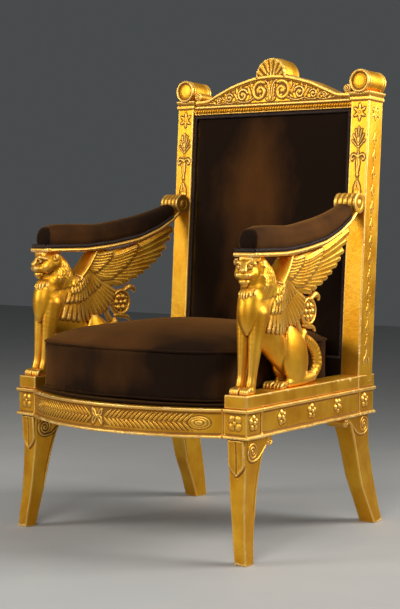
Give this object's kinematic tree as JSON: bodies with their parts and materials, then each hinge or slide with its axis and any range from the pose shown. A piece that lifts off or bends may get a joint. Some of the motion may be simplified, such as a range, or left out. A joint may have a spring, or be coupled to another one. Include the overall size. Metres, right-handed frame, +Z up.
{
  "type": "throne armchair",
  "caption": "Gilded throne armchair with winged-lion arm supports, scrolled arms, sabre legs, carved crest and rails, and dark velvet upholstery with a loose seat cushion.",
  "frame": {"origin": "middle of the footprint's bounding box, on the floor", "axes": "+Z up; the chair faces -Y; +X is to the right as seen from the front"},
  "size_m": [0.7198, 0.7264, 1.1667],
  "materials": {
    "gilding": "carved wood, water-gilded over gesso, burnished on the high parts and worn along the edges",
    "velvet": "dark brown cut pile, lighter where it catches the light",
    "gimp": "dark woven braid"
  },
  "bodies": {
    "root": {"front_leg_right": "gilding", "front_leg_left": "gilding", "back_stile_right": "gilding", "back_stile_left": "gilding", "side_rail_right": "gilding", "side_rail_left": "gilding", "side_plinth_right": "gilding", "side_plinth_left": "gilding", "front_rail": "gilding", "back_rail": "gilding", "back_cross_rail": "gilding", "crest_rail": "gilding", "post_roll_right": "gilding", "post_roll_left": "gilding", "back_pad": "velvet", "back_gimp": "gimp", "outside_back": "velvet", "winged_lion_right": "gilding", "winged_lion_left": "gilding", "arm_right": "gilding", "arm_left": "gilding", "arm_pad_right": "velvet", "arm_pad_left": "velvet", "arm_gimp_right": "gimp", "arm_gimp_left": "gimp", "seat_deck": "velvet", "seat_cushion": "velvet"}
  },
  "joints": []
}
